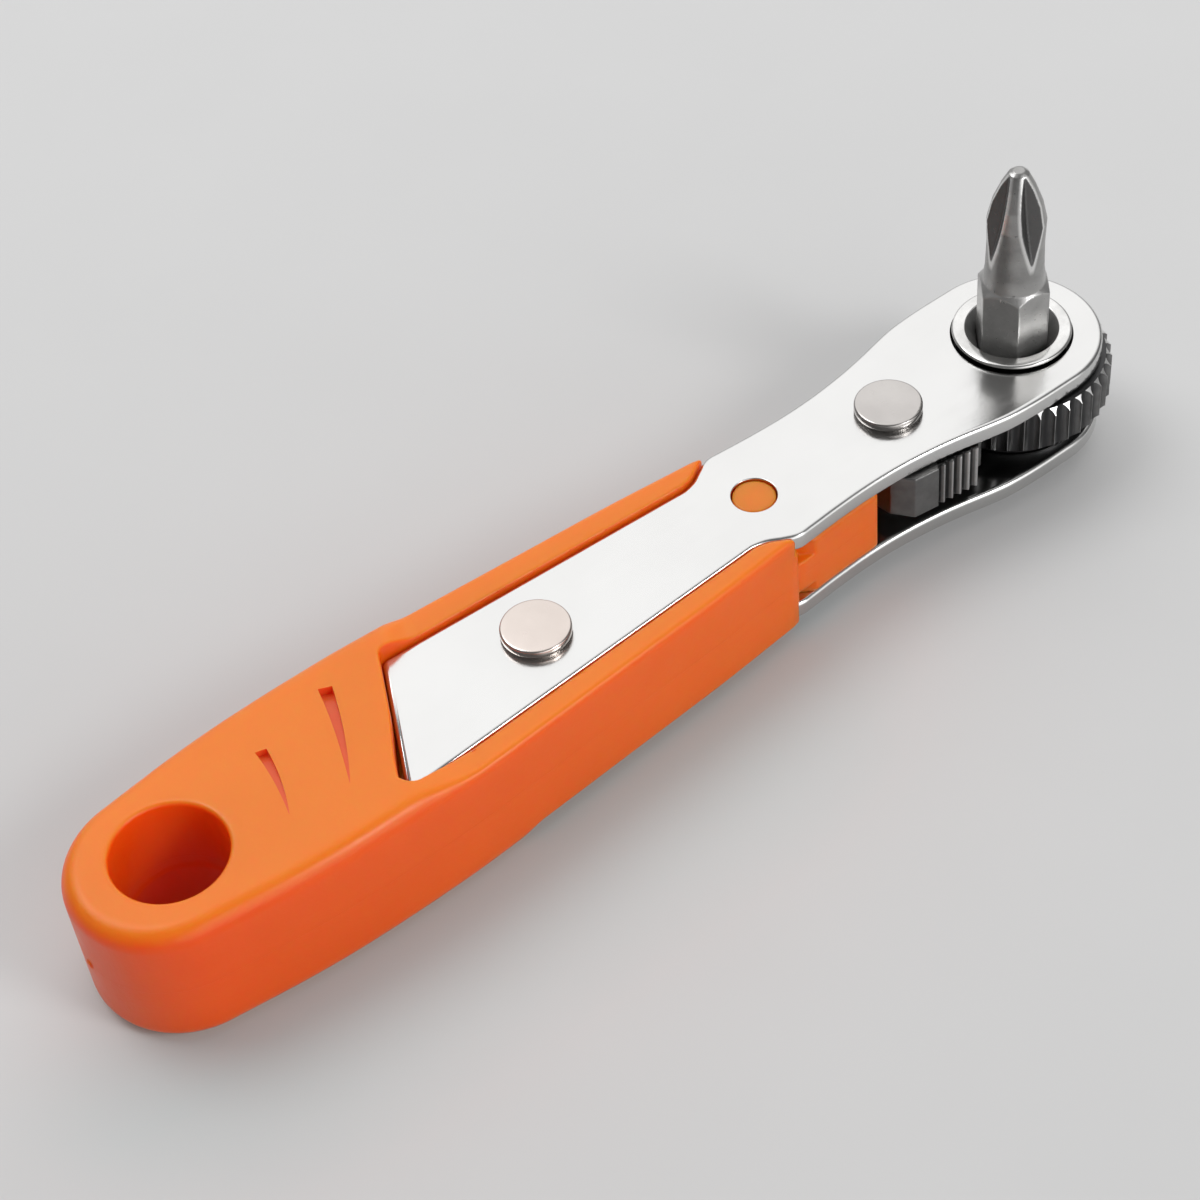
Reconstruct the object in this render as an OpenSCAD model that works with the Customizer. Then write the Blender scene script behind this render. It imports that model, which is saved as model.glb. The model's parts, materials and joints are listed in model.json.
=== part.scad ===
// Mini ratchet wrench for quarter-inch hexagon bits, lying on its side.
// X runs along the tool from the hanging hole to the head, Z is up.
// The origin is on the gear's axis, at the lower mouth of its hexagon socket.

/* [Plates] */
// Thickness of each steel side plate
plate_t = 2; // [1.6:0.1:2.2]
// Clear space between the two side plates
plate_gap = 7.1; // [6.9:0.1:7.3]
// Radius of the plates round the gear
head_r = 8.7; // [8.6:0.1:8.9]

/* [Ratchet] */
// Radius over the tips of the gear teeth
gear_r = 9.75; // [9.7:0.05:9.8]
// Thickness of the toothed band
tooth_band = 5; // [4.4:0.1:5.2]
// Radius of the gear's hubs in the plates
hub_r = 5.75; // [5.5:0.05:5.75]
// How far a hub stands out of its plate
hub_proud = 0.72; // [0.5:0.02:0.9]
// Swing of the pawl to either side of its middle, in degrees
pawl_swing = 5; // [4.8:0.1:5.2]

/* [Rivets] */
// Radius of a rivet head
rivet_head_r = 3.25; // [3:0.05:3.5]
// Height of a rivet head
rivet_head_h = 1.05; // [0.6:0.05:1.3]

/* [Handle] */
// Thickness of the handle at the hanging hole
tail_t = 14.4; // [14:0.1:15]
// Thickness of the handle beside the plates
rim_t = 12; // [11.8:0.1:12.6]
// Radius of the hanging hole
hang_r = 5.1; // [4.5:0.1:5.3]

/* [Bit] */
// Length of the screwdriver bit
bit_len = 25; // [24.6:0.1:26]
// Width across the flats of the bit
bit_af = 6.35; // [6.2:0.05:6.35]

/* [Hidden] */
$fn = 64;
hull_fn = 40;
eps = 0.02;
mid_z = plate_gap / 2 + plate_t + hub_proud;
tail_z0 = mid_z - tail_t / 2;
core_z0 = mid_z - plate_gap / 2;
core_z1 = mid_z + plate_gap / 2;
plate_top = core_z1 + plate_t;
plate_bot = core_z0 - plate_t;

// places along the tool
pivot_x = -16;
dot_x = -32.6;
rivet_x = -57.9;
hang_x = -96.2;
core_front = -22.6;
grip_front = -33;

// half outline of a plate's open part, from the handle to the head
neck = [
    [-37, 4.95], [-35.6, 5.3], [-34.2, 6.1], [-32.8, 6.7], [-31.2, 6.65],
    [-28, 6.42], [-24, 6.28], [-20, 6.42], [-16, 6.88], [-13, 7.42],
    [-10.5, 7.98], [-8, 8.45], [-5, head_r - 0.04], [-2.5, head_r]
];
plate_tail_near = [-77.3, -7];
plate_tail_far = [-69.9, 6.6];
plate_corner_r = 1;
pocket_room = 0.12;
hub_room = 0.08;
dot_r = 2.16;
shank_r = 1.6;

// gear
tooth_count = 36;
tooth_pitch = 360 / tooth_count;
valley_r = 0.82;
valley_at = gear_r + 0.1;
tooth_bevel = 0.6;
band_z1 = core_z1 - 0.15;
band_z0 = band_z1 - tooth_band;
shoulder_r = 7.6;
lead_in_r = 4.6;
lead_in_depth = 1.1;
socket_af = 6.5;
hex_turn = -6;
ring_z = plate_top - 3.6;
ring_wire_r = 0.32;
ring_r = 4.05;
ring_groove_r = 4.5;

// pawl, in its middle position
pawl_z0 = band_z0;
pawl_z1 = band_z1;
pawl_bore_r = shank_r + 0.05;
pawl_boss_r = 2.9;
pawl_back = 4.6;
tooth_at = 25;
tooth_tip_r = 0.3;
tooth_root_gap = 0.09;
ridge_count = 5;
ridge_pitch = 0.95;
ridge_deep = 0.5;
tab_v = 7.45;
ball_r = 1.5;
ball_seat_r = ball_r + 0.06;
ball_x = pivot_x - pawl_back - ball_seat_r + 0.35;
ball_z = (pawl_z0 + pawl_z1) / 2;
bore_end = -30;

// detent spring
wire_r = 0.22;
coil_r = 1.1;
coils = 5;
rings = 8;
sides = 6;
spring_x0 = ball_x - ball_r - wire_r - 0.05;
spring_x1 = bore_end + wire_r + 0.05;

// bit
bit_top = plate_top + 19.8;
bit_base = bit_top - bit_len;
hex_top = plate_top + 6.9;
body_r = 2.8;
flute_turn = -10;
wheel_r = 34.5;
wheel_rise = 1.55;
flute_core = 0.965;

function unit(v) = v / norm(v);
function spline(a, b, c, d, t) = 0.5 * (2 * b + (c - a) * t
    + (2 * a - 5 * b + 4 * c - d) * t * t + (3 * b - a - 3 * c + d) * t * t * t);
function smooth(p, n) = [
    for (i = [0 : len(p) - 2], k = [0 : n - 1])
        spline(p[max(i - 1, 0)], p[i], p[i + 1], p[min(i + 2, len(p) - 1)], k / n),
    p[len(p) - 1]
];
function flip(p) = [for (i = [len(p) - 1 : -1 : 0]) [p[i][0], -p[i][1]]];
function widen(p, d) = [for (q = p) [q[0], q[1] + d]];
function wrap(a) = a > 180 ? a - 360 : a < -180 ? a + 360 : a;
function fillet(a, p, b, r, n = 6) =
    let (u = unit(a - p), v = unit(b - p), half = acos(u * v) / 2,
        c = p + unit(u + v) * r / sin(half),
        s = p + u * r / tan(half) - c, e = p + v * r / tan(half) - c,
        a0 = atan2(s[1], s[0]), turn = wrap(atan2(e[1], e[0]) - a0))
    [for (i = [0 : n]) c + r * [cos(a0 + turn * i / n), sin(a0 + turn * i / n)]];

// outline of a plate, grown sideways by room
module plate_outline(room = 0) {
    side = smooth(widen(neck, room), 5);
    near = plate_tail_near + [-room, -room];
    far = plate_tail_far + [-room, room];
    far_front = side[0];
    near_front = [far_front[0], -far_front[1]];
    nose = [for (a = [92 : -4 : -92]) (head_r + room) * [cos(a), sin(a)]];
    polygon(concat(
        fillet(near_front, near, far, plate_corner_r),
        fillet(near, far, far_front, plate_corner_r),
        side, nose, flip(side)
    ));
}

module plate_blank() {
    difference() {
        linear_extrude(plate_t) plate_outline();
        translate([0, 0, -1]) cylinder(r = hub_r + hub_room, h = plate_t + 2);
        translate([dot_x, 0, -1]) cylinder(r = dot_r, h = plate_t + 2);
        for (x = [pivot_x, rivet_x])
            translate([x, 0, -1]) cylinder(r = shank_r + eps, h = plate_t + 2);
    }
}

module top_plate() {
    color([0.86, 0.86, 0.86]) translate([0, 0, core_z1]) plate_blank();
}

// the same stamping turned over
module bottom_plate() {
    color([0.86, 0.86, 0.86]) translate([0, 0, core_z0]) rotate([180, 0, 0]) plate_blank();
}

// one half slice of the tail, its front edge slanted like the plate's end
module tail_slice(inset, z, way) {
    translate([0, 0, z]) linear_extrude(0.01) {
        translate([-97, 0]) circle(8.6 - inset, $fn = hull_fn);
        translate([-86, 0]) circle(9.95 - inset, $fn = hull_fn);
        polygon([
            [-66.5 - inset, way * (9.5 - inset)], [-75.5 - inset, way * (inset - 9.9)],
            [-80, way * (inset - 9.95)], [-80, way * (9.95 - inset)]
        ]);
    }
}

module tail_block() {
    round_r = 1.5;
    hull()
        for (way = [1, -1], a = [0, 30, 60, 90])
            tail_slice(round_r * (1 - cos(a)),
                mid_z + way * (tail_t / 2 - round_r * (1 - sin(a))) - (way > 0 ? 0.01 : 0), way);
}

module rim_slice(inset, z) {
    w = [7 - inset, 8.05 - inset, 9.9 - inset];
    translate([0, 0, z]) linear_extrude(0.01) polygon([
        [grip_front, w[0]], [-44, w[1]], [-72, w[2]], [-80, w[2]],
        [-80, -w[2]], [-72, -w[2]], [-44, -w[1]], [grip_front, -w[0]]
    ]);
}

module rim_block() {
    round_r = 1;
    hull()
        for (way = [1, -1], a = [0, 45, 90])
            rim_slice(round_r * (1 - cos(a)),
                mid_z + way * (rim_t / 2 - round_r * (1 - sin(a))) - (way > 0 ? 0.01 : 0));
}

// the moulding's tongue between the plates
module core() {
    side = [for (p = smooth(widen(neck, -0.06), 5)) if (p[0] < core_front) p];
    tip = [[core_front, 6.24]];
    difference() {
        translate([0, 0, core_z0]) linear_extrude(plate_gap)
            polygon(concat(side, tip, flip(tip), flip(side)));
        // moulding reliefs where the tongue leaves the grip
        for (y = [-1, 1], z = [[core_z1 - 2.3, 3], [core_z0 - 1, 2.9]])
            translate([grip_front, y > 0 ? 5.7 : -8.7, z[0]]) cube([1.9, 3, z[1]]);
    }
}

// a tapered finger groove: plan triangle whose floor runs out at its point
module groove(point, wide, width, deep) {
    d = wide - point;
    translate([point[0], point[1], tail_t / 2]) rotate([0, 0, atan2(d[1], d[0])])
        rotate([0, atan(deep / norm(d)), 0]) linear_extrude(3)
            polygon([[0, 0], [norm(d), -width / 2], [norm(d), width / 2]]);
}

module face_features() {
    translate([0, 0, plate_gap / 2]) linear_extrude(tail_t) plate_outline(pocket_room);
    groove([-80.7, -4.2], [-76.25, 6.1], 1.5, 1);
    groove([-86.4, -3.5], [-84.4, 3.95], 1.15, 0.8);
    translate([hang_x, 0, tail_t / 2 - 0.45]) cylinder(r1 = hang_r, r2 = hang_r + 0.5, h = 0.5);
}

module handle() {
    color([0.93, 0.42, 0.15]) difference() {
        union() {
            difference() {
                union() {
                    rim_block();
                    tail_block();
                }
                translate([0, 0, mid_z]) face_features();
                translate([0, 0, mid_z]) rotate([180, 0, 0]) face_features();
            }
            core();
            translate([dot_x, 0, plate_bot + 0.35])
                cylinder(r = dot_r - 0.12, h = plate_top - plate_bot - 0.7);
        }
        translate([hang_x, 0, tail_z0 - 1]) cylinder(r = hang_r, h = tail_t + 2);
        translate([rivet_x, 0, tail_z0 - 1]) cylinder(r = shank_r + eps, h = tail_t + 2);
        translate([bore_end, 0, ball_z]) rotate([0, 90, 0])
            cylinder(r = ball_seat_r, h = core_front - bore_end + 1);
    }
}

// a flat-headed rivet closed over both plates
module rivet(x) {
    edge = 0.22;
    z0 = plate_bot - rivet_head_h;
    z1 = plate_top + rivet_head_h;
    translate([x, 0, 0]) rotate_extrude() polygon([
        [0, z0], [rivet_head_r - edge, z0], [rivet_head_r, z0 + edge],
        [rivet_head_r, plate_bot], [shank_r, plate_bot], [shank_r, plate_top],
        [rivet_head_r, plate_top], [rivet_head_r, z1 - edge], [rivet_head_r - edge, z1], [0, z1]
    ]);
}

module handle_rivet() { color([0.8, 0.78, 0.74]) rivet(rivet_x); }

module pawl_rivet() { color([0.74, 0.73, 0.71]) rivet(pivot_x); }

module ratchet_gear() {
    top = plate_top + hub_proud;
    bot = plate_bot - hub_proud;
    edge = 0.25;
    color([0.32, 0.32, 0.33]) difference() {
        union() {
            intersection() {
                translate([0, 0, band_z0]) linear_extrude(tooth_band) difference() {
                    circle(gear_r);
                    for (k = [0 : tooth_count - 1]) rotate(tooth_pitch * (k + 0.5))
                        translate([valley_at, 0]) circle(valley_r, $fn = 32);
                }
                // both ends of the teeth are bevelled
                rotate_extrude() polygon([
                    [0, band_z0], [gear_r - tooth_bevel, band_z0], [gear_r + 1, band_z0 + tooth_bevel + 1],
                    [gear_r + 1, band_z1 - tooth_bevel - 1], [gear_r - tooth_bevel, band_z1], [0, band_z1]
                ]);
            }
            translate([0, 0, core_z0 + 0.15])
                cylinder(r = shoulder_r, h = band_z0 - core_z0 - 0.15 + eps);
            rotate_extrude() polygon([
                [0, bot], [hub_r - edge, bot], [hub_r, bot + edge],
                [hub_r, top - edge], [hub_r - edge, top], [0, top]
            ]);
        }
        translate([0, 0, bot - 1]) rotate([0, 0, hex_turn])
            cylinder(r = socket_af / sqrt(3), h = top - bot + 2, $fn = 6);
        translate([0, 0, top - lead_in_depth])
            cylinder(r1 = lead_in_r - 0.85, r2 = lead_in_r, h = lead_in_depth + eps);
        translate([0, 0, bot - eps])
            cylinder(r1 = lead_in_r, r2 = lead_in_r - 0.85, h = lead_in_depth + eps);
        translate([0, 0, ring_z - 0.4]) cylinder(r = ring_groove_r, h = 0.8);
    }
}

// open spring ring that grips the bit
module bit_retaining_ring() {
    color([0.6, 0.6, 0.6]) translate([0, 0, ring_z]) rotate([0, 0, 20])
        rotate_extrude(angle = 320) translate([ring_r, 0]) circle(ring_wire_r, $fn = 24);
}

// half outline of the pawl from its back to the gear, pivot at zero
function pawl_half() =
    let (reach = -pivot_x, turn = pawl_swing * PI / 180)
    concat(
        [[-pawl_back, 0], [-pawl_back, 2.6], [-3.94, 5.5], [-2.35, tab_v - 0.15],
            [0.3, tab_v - 0.02]],
        [for (k = [0 : ridge_count - 1], s = [0, 1])
            [0.55 + ridge_pitch * (k + s / 2), tab_v + 0.03 * k - (s == 0 ? ridge_deep : 0)]],
        [[0.55 + ridge_pitch * ridge_count, tab_v - ridge_deep], [5.5, 5.6]],
        [for (a = [31.5 : -3.5 : 0])
            let (r = gear_r + 0.2 + reach * turn * sin(a)) [reach - r * cos(a), r * sin(a)]]
    );

// one tooth of the pawl, seated in the gear's valley and swung back to the middle
module pawl_tooth() {
    root = valley_at - valley_r + tooth_root_gap + tooth_tip_r;
    rotate(pawl_swing) translate([-pivot_x, 0]) rotate(180 - tooth_at) {
        translate([root, 0]) circle(tooth_tip_r, $fn = 32);
        polygon([[root, -tooth_tip_r], [root, tooth_tip_r],
            [gear_r + 0.65, 0.75], [gear_r + 0.65, -0.75]]);
    }
}

module reversing_pawl() {
    color([0.36, 0.36, 0.37]) translate([pivot_x, 0, 0]) rotate([0, 0, -pawl_swing])
        difference() {
            union() {
                translate([0, 0, pawl_z0]) linear_extrude(pawl_z1 - pawl_z0) difference() {
                    union() {
                        polygon(concat(pawl_half(), flip(pawl_half())));
                        pawl_tooth();
                        mirror([0, 1]) pawl_tooth();
                    }
                    for (a = [-pawl_swing, pawl_swing]) rotate(a)
                        translate([ball_x - pivot_x, 0]) circle(ball_seat_r, $fn = 48);
                }
                translate([0, 0, core_z0 + 0.15])
                    cylinder(r = pawl_boss_r, h = pawl_z0 - core_z0 - 0.15 + eps);
            }
            translate([0, 0, core_z0 - 1]) cylinder(r = pawl_bore_r, h = plate_gap + 2);
        }
}

module detent_ball() {
    color([0.7, 0.7, 0.7]) translate([ball_x, 0, ball_z]) sphere(ball_r);
}

// the spring's centre line, its rings of points and its least gap between turns
turns_n = coils * rings;
function spring_at(i) = [
    spring_x0 + (spring_x1 - spring_x0) * i / turns_n,
    coil_r * cos(360 * i / rings), ball_z + coil_r * sin(360 * i / rings)
];
function spring_ring(i) =
    let (a = 360 * i / rings, out = [0, cos(a), sin(a)])
    [for (s = [0 : sides - 1]) spring_at(i)
        + wire_r * (cos(360 * s / sides) * out + sin(360 * s / sides) * [1, 0, 0])];
spring_gap = min([for (i = [0 : turns_n - rings], j = [i + rings - 2 : min(i + rings + 2, turns_n)])
    norm(spring_at(i) - spring_at(j))]) - 2 * wire_r;
echo(spring_gap = spring_gap);

module detent_spring() {
    last = turns_n * sides;
    color([0.55, 0.55, 0.56]) polyhedron(
        points = [for (i = [0 : turns_n]) for (p = spring_ring(i)) p],
        faces = concat(
            [for (i = [0 : turns_n - 1], s = [0 : sides - 1], h = [0, 1])
                let (t = (s + 1) % sides, a = i * sides, b = a + sides)
                h == 0 ? [a + s, a + t, b + t] : [a + s, b + t, b + s]],
            [for (s = [1 : sides - 2]) [0, s + 1, s]],
            [for (s = [1 : sides - 2]) [last, last + s, last + s + 1]]
        ));
}

// cross-point insert bit on a hexagon shank
module screwdriver_bit() {
    h = bit_top - plate_top;
    z = plate_top;
    hex_r = bit_af / sqrt(3);
    color([0.55, 0.55, 0.55]) difference() {
        union() {
            intersection() {
                translate([0, 0, bit_base]) rotate([0, 0, hex_turn])
                    cylinder(r = hex_r, h = hex_top - bit_base, $fn = 6);
                rotate_extrude() polygon([
                    [0, bit_base], [3.1, bit_base], [hex_r + 0.05, bit_base + 0.6],
                    [hex_r + 0.05, hex_top - 0.75], [2.95, hex_top], [0, hex_top]
                ]);
            }
            rotate_extrude() polygon([
                [0, hex_top - 1], [2.95, hex_top - 1], [2.95, hex_top + 0.2],
                [body_r, hex_top + 1.6], [body_r - 0.08, z + 11.5], [body_r, z + 14.2],
                [2.35, z + 16.3], [1.62, z + 18.2], [0.95, z + h - 0.35], [0.6, z + h], [0, z + h]
            ]);
        }
        // four flutes, each ground by the edge of a large wheel
        for (k = [0 : 3]) rotate([0, 0, flute_turn + 90 * k])
            translate([flute_core + wheel_r, 0, bit_top + wheel_rise]) rotate([90, 0, 0])
                rotate_extrude($fn = 160) polygon([
                    [wheel_r, -0.1], [wheel_r, 0.1], [wheel_r - 3, 3.7], [wheel_r - 3, -3.7]
                ]);
    }
}

handle();
top_plate();
bottom_plate();
handle_rivet();
pawl_rivet();
ratchet_gear();
bit_retaining_ring();
reversing_pawl();
detent_ball();
detent_spring();
screwdriver_bit();
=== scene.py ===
# Mini ratchet wrench lying on a pale studio floor, built over its CAD frame.
import json
import math

import bmesh
import bpy
import numpy as np
from mathutils import Matrix, Vector


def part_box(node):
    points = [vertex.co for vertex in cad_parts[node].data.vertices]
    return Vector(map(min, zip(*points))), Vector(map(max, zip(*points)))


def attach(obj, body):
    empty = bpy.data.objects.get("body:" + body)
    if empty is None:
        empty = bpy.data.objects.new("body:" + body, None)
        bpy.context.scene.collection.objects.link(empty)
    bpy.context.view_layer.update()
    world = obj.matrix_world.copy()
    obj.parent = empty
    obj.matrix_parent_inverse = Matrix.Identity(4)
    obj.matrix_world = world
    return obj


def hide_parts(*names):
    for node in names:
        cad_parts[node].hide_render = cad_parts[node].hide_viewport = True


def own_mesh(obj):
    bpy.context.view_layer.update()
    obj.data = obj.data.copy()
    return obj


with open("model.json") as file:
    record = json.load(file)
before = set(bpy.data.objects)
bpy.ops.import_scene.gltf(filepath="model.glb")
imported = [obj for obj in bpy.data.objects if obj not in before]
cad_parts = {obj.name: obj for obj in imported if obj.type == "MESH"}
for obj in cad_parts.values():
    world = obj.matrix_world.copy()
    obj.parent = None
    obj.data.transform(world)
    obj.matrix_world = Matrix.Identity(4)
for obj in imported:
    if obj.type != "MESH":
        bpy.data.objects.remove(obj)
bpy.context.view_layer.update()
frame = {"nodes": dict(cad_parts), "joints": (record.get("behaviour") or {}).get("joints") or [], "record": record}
scene = bpy.context.scene
scene.view_settings.view_transform = "Standard"

# Camera. It stands beyond the hanging end, on the near side, and looks down at about 45 degrees
# along the tool, as the photograph does. Its place was fitted to the rivets, hub and hole.
camera_data = bpy.data.cameras.new("photo_camera")
camera_data.sensor_width = 36
camera_data.lens = 81.55
camera_data.clip_start = 0.01
camera = bpy.data.objects.new("photo_camera", camera_data)
camera_tilt = 42.389
camera_roll = 4.3856
camera_heading = -38.2431
camera.location = (-0.141809, -0.137747, 0.190627)
camera.rotation_euler = [math.radians(a) for a in (camera_tilt, camera_roll, camera_heading)]
scene.collection.objects.link(camera)
scene.camera = camera

# Handle. One injection moulding in orange polypropylene: two grip rims that wrap the plates,
# a thick tail with the hanging hole, and a tongue that runs forward between the plates.
# It is drawn as a solid field in millimetres about its parting plane, so every edge is radiused.
mm = 0.001
micron = 0.001 * mm


def in_mm(metres):
    """A length from the frame in millimetres, to the hundredth."""
    return round(metres / mm, 2)


def linked(name, data):
    """A new object in the scene."""
    piece = bpy.data.objects.new(name, data)
    scene.collection.objects.link(piece)
    return piece


def mesh_of(name, bm):
    """Closes an edit mesh, its faces turned outward."""
    bmesh.ops.recalc_face_normals(bm, faces=bm.faces)
    mesh = bpy.data.meshes.new(name)
    bm.to_mesh(mesh)
    bm.free()
    return mesh


def settled(piece):
    """The mesh that a piece's modifiers make."""
    bpy.context.view_layer.update()
    made = piece.evaluated_get(bpy.context.evaluated_depsgraph_get())
    return bpy.data.meshes.new_from_object(made)


def along(points, pieces):
    """Points on a smooth curve through the given ones."""
    p = np.array(points, float)
    out = []
    for i in range(len(p) - 1):
        a, b, c, d = p[max(i - 1, 0)], p[i], p[i + 1], p[min(i + 2, len(p) - 1)]
        for t in np.arange(pieces) / pieces:
            out.append(0.5 * (2 * b + (c - a) * t + (2 * a - 5 * b + 4 * c - d) * t ** 2
                              + (3 * b - a - 3 * c + d) * t ** 3))
    return np.array(out + [p[-1]])


def arc(centre, radius, start, stop, count):
    """Points on a circle between two angles in degrees."""
    a = np.radians(np.linspace(start, stop, count))
    return np.stack([centre[0] + radius * np.cos(a), centre[1] + radius * np.sin(a)], 1)


def mirrored(half):
    """A closed outline from its far half, which runs from the tail to the head."""
    return np.concatenate([half, half[::-1] * (1, -1)])


def off_edge(x, y, ring):
    """Distance from a closed outline, negative inside."""
    shape = np.broadcast(x, y).shape
    near = np.full(shape, 1e9)
    inside = np.zeros(shape, bool)
    for (ax, ay), (bx, by) in zip(ring, np.roll(ring, -1, 0)):
        ex, ey = bx - ax, by - ay
        wx, wy = x - ax, y - ay
        t = np.clip((wx * ex + wy * ey) / max(ex * ex + ey * ey, 1e-12), 0, 1)
        near = np.minimum(near, (wx - ex * t) ** 2 + (wy - ey * t) ** 2)
        left = ex * wy > ey * wx
        inside ^= ((y >= ay) & (y < by) & left) | ((y < ay) & (y >= by) & ~left)
    return np.where(inside, -1, 1) * np.sqrt(near)


def block(flat, high, radius):
    """A solid with a plan outline and a height, its edges rounded."""
    u, v = flat + radius, high + radius
    corner = np.hypot(np.maximum(u, 0), np.maximum(v, 0))
    return np.minimum(np.maximum(u, v), 0) + corner - radius


def carve(solid, tool, radius):
    """Takes a tool out of a solid and rounds the mouth it leaves."""
    u, v = np.maximum(solid + radius, 0), np.maximum(radius - tool, 0)
    return np.minimum(-radius, np.maximum(solid, -tool)) + np.hypot(u, v)


def skin(name, field, low, high, step, keep):
    """Meshes the surface of a solid field: one point in each crossed cell, slid onto the surface.
    Flat stretches are thinned until only a share of the faces is left."""
    axes = [np.arange(a, b + s, s) for a, b, s in zip(low, high, step)]
    value = field(axes[0][:, None, None], axes[1][None, :, None], axes[2][None, None, :])
    solid = value < 0
    corners = [solid[i:i - 1 or None, j:j - 1 or None, k:k - 1 or None]
               for i in (0, 1) for j in (0, 1) for k in (0, 1)]
    crossed = np.logical_or.reduce(corners) & ~np.logical_and.reduce(corners)
    cells = np.argwhere(crossed)
    index = np.full(crossed.shape, -1)
    index[crossed] = np.arange(len(cells))
    spacing = np.array(step)
    centre = np.array(low) + (cells + 0.5) * spacing
    at = centre.copy()
    small = 0.01
    for _ in range(2):
        here = field(*at.T)
        slope = np.stack([(field(*(at + small * e).T) - here) / small for e in np.eye(3)], 1)
        steep = np.maximum((slope ** 2).sum(1), 0.05)
        at = at - slope * (here / steep)[:, None]
        at = np.clip(at, centre - spacing, centre + spacing)
    faces = []
    for a in range(3):
        order = (a, (a + 1) % 3, (a + 2) % 3)
        s, ids = solid.transpose(order), index.transpose(order)
        first, second = s[:-1, 1:-1, 1:-1], s[1:, 1:-1, 1:-1]
        for outward in (True, False):
            i, j, k = np.argwhere((first & ~second) if outward else (~first & second)).T
            quad = [ids[i, j, k], ids[i, j + 1, k], ids[i, j + 1, k + 1], ids[i, j, k + 1]]
            faces.append(np.stack(quad if outward else quad[::-1], 1))
    mesh = bpy.data.meshes.new(name)
    mesh.from_pydata((at * mm).tolist(), [], np.concatenate(faces).tolist())
    piece = linked(name, mesh)
    mesh.shade_smooth()
    thin = piece.modifiers.new("thin", "DECIMATE")
    thin.ratio = keep
    even_shading(piece)
    return piece


def even_shading(piece):
    """Settles a piece's modifiers, and lets its larger faces lead the shading."""
    piece.modifiers.new("even", "WEIGHTED_NORMAL").keep_sharp = True
    piece.data = settled(piece)
    piece.modifiers.clear()


pivots = {joint["name"]: joint.get("pos_m") for joint in frame["joints"]}
mounts = {mount["name"]: mount["pos_m"] for mount in frame["record"]["mounts"]}
plate_low, plate_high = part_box("top_plate")
mid_z = in_mm(pivots["gear_spin"][2])
plate_face = round(in_mm(plate_high.z) - mid_z, 2)
plate_inner = round(in_mm(plate_low.z) - mid_z, 2)
pawl_rivet_x = in_mm(pivots["pawl_rock"][0])
rivet_low, rivet_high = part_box("handle_rivet")
handle_rivet_x = round((rivet_low.x + rivet_high.x) / 2 / mm, 1)
hang_x = in_mm(mounts["hang_hole"][0])
dot_x = -32.6
neck = along([(-37, 4.95), (-35.6, 5.3), (-34.2, 6.1), (-32.8, 6.7), (-31.2, 6.65), (-28, 6.42),
              (-24, 6.28), (-20, 6.42), (-16, 6.88), (-13, 7.42), (-10.5, 7.98), (-8, 8.45),
              (-5, 8.66), (-2.5, 8.7)], 5)
head_r = 8.7
plate_far_end = arc((-69.54, 5.57), 1, 166, 92, 7)
plate_near_end = arc((-75.70, -6.03), 1, 267, 194, 7)
plate_edge = np.concatenate([plate_near_end, plate_far_end, neck, arc((0, 0), head_r, 92, -92, 47),
                             neck[::-1] * (1, -1)])
grip_edge = mirrored(np.concatenate([
    arc((-97, 0), 8.6, 180, 99, 24),
    along([(-98, 8.54), (-94.5, 8.99), (-90.5, 9.46), (-86, 9.8), (-81, 9.95), (-76, 9.95), (-72, 9.85),
           (-64, 9.37), (-54, 8.71), (-44, 8.05), (-38, 7.5), (-34.2, 7.14)], 5),
    [(-33.5, 6.95), (-33.1, 6.6), (-33, 6)]]))
tongue_edge = mirrored(np.concatenate([neck[neck[:, 0] < -23.4] - (0, 0.06),
                                       [(-23.0, 6.14), (-22.72, 5.92), (-22.6, 5.55)]]))
grip_half = 9.7
rim_high = 6
rim_edge = 0.7
tail_rise = 1.2
tail_edge_extra = 1.1
swell_x = -66.6
swell_skew = 8.4
swell_run = 2.8
swell_spread = 6.2
plate_slack = 0.12
near_slack_extra = 0.33
tongue_slack = 0.02
relief_half = 6.75
relief_deep = 1.7
relief_x = -30.6
relief_run = 2.4
dot_boss_r = 2.04
dot_boss_high = 5.36
gate_x = -105.5
gate_r = 0.4
gate_half = 0.26
hang_r = 5.12
rivet_hole_r = 1.64
ball_bore_r = 1.58
ball_bore_z = 0.9
ball_bore_end = -30
fine_edge = 0.1
sharp_edge = 0.05


def swell(x, side):
    """How far the grip has risen from its rims, 0, to its tail, 1, on a slant across it."""
    slant = (grip_half - side) / (2 * grip_half)
    past = swell_x - swell_skew * slant - x
    t = np.clip(past / (swell_run + swell_spread * slant) + 0.5, 0, 1)
    return t * t * (3 - 2 * t)


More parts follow.
